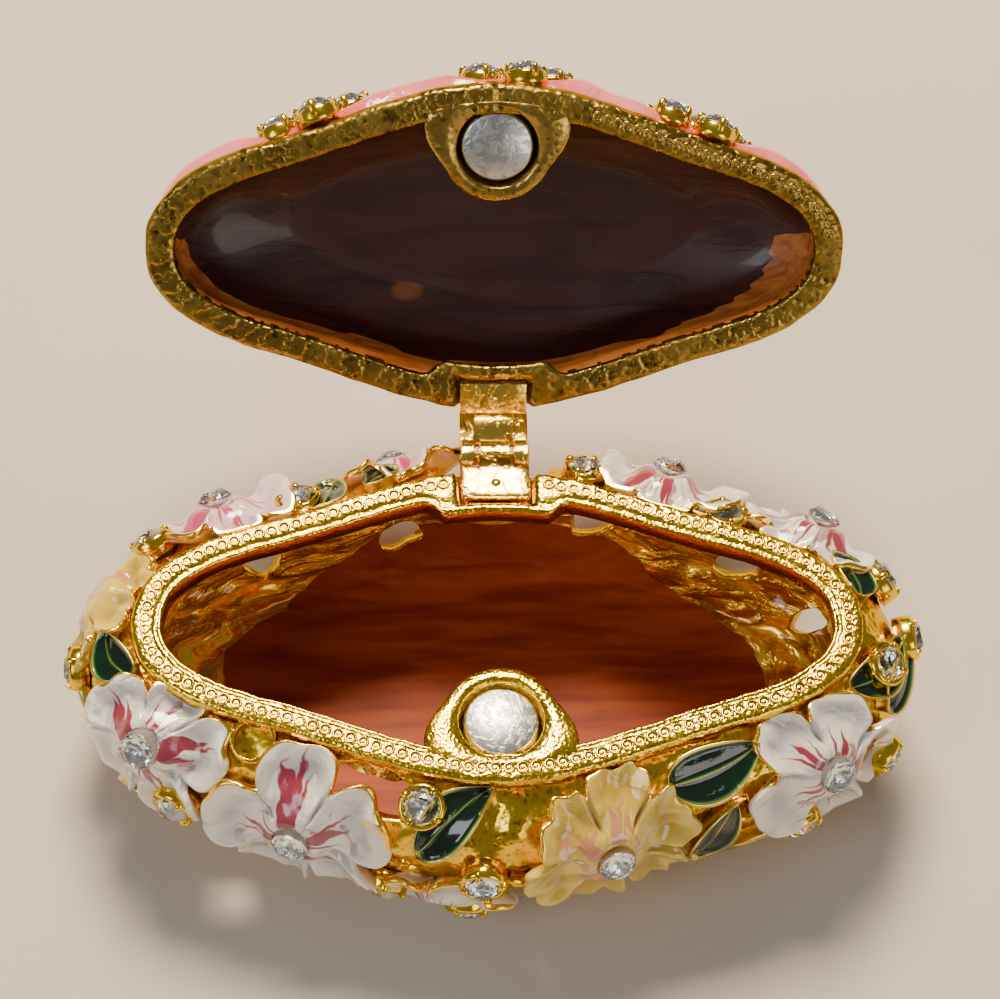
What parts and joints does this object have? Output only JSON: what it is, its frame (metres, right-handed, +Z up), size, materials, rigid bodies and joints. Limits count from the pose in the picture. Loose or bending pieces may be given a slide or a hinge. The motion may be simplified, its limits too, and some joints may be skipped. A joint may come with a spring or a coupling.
{
  "type": "jewelled trinket box",
  "caption": "Small openwork trinket box of cast enamelled flowers and leaves set with crystals, with a domed pink lid on a hinge.",
  "frame": {"origin": "centre of the flat underside", "axes": "+X along the box's length, -Y towards the magnet catch at the front, +Z up"},
  "size_m": [0.0729, 0.0674, 0.0411],
  "materials": {
    "cast_gold": "cast, gilded and partly enamelled",
    "pink_enamel": "gilded casting under glossy enamel",
    "white_enamel": "glossy enamel",
    "yellow_enamel": "glossy translucent enamel",
    "green_enamel": "glossy enamel",
    "hinge_brass": "polished",
    "magnet": "nickel plated, worn",
    "crystal": "faceted, foil backed"
  },
  "bodies": {
    "base": {"basket_body": "cast_gold", "base_magnet": "magnet", "hinge_base_leaf": "hinge_brass", "hinge_pin": "hinge_brass", "body_stone_01": "crystal", "body_stone_02": "crystal", "body_stone_03": "crystal", "body_stone_04": "crystal", "body_stone_05": "crystal", "body_stone_06": "crystal", "body_stone_07": "crystal", "body_stone_08": "crystal", "body_stone_09": "crystal", "body_stone_10": "crystal", "body_stone_11": "crystal", "body_stone_12": "crystal", "body_stone_13": "crystal", "body_stone_14": "crystal", "body_stone_15": "crystal", "body_stone_16": "crystal", "body_stone_17": "crystal", "body_stone_18": "crystal", "body_stone_19": "crystal", "body_stone_20": "crystal", "body_stone_21": "crystal", "body_stone_22": "crystal", "body_stone_23": "crystal", "body_stone_24": "crystal"},
    "lid": {"lid_shell": "pink_enamel", "lid_magnet": "magnet", "hinge_lid_leaf": "hinge_brass", "rosette_1_stone_01": "crystal", "rosette_1_stone_02": "crystal", "rosette_1_stone_03": "crystal", "rosette_1_stone_04": "crystal", "rosette_1_stone_05": "crystal", "rosette_1_stone_06": "crystal", "rosette_2_stone_01": "crystal", "rosette_2_stone_02": "crystal", "rosette_2_stone_03": "crystal", "rosette_2_stone_04": "crystal", "rosette_2_stone_05": "crystal", "rosette_2_stone_06": "crystal", "rosette_3_stone_01": "crystal", "rosette_3_stone_02": "crystal", "rosette_3_stone_03": "crystal", "rosette_3_stone_04": "crystal", "rosette_3_stone_05": "crystal", "rosette_3_stone_06": "crystal", "lid_stone_01": "crystal", "lid_stone_02": "crystal"}
  },
  "joints": [
    {"name": "lid_hinge", "type": "hinge", "parent": "base", "child": "lid", "pos_m": [0, 0.01765, 0.016], "axis": [1, 0, 0], "range_deg": [0, 123]}
  ]
}
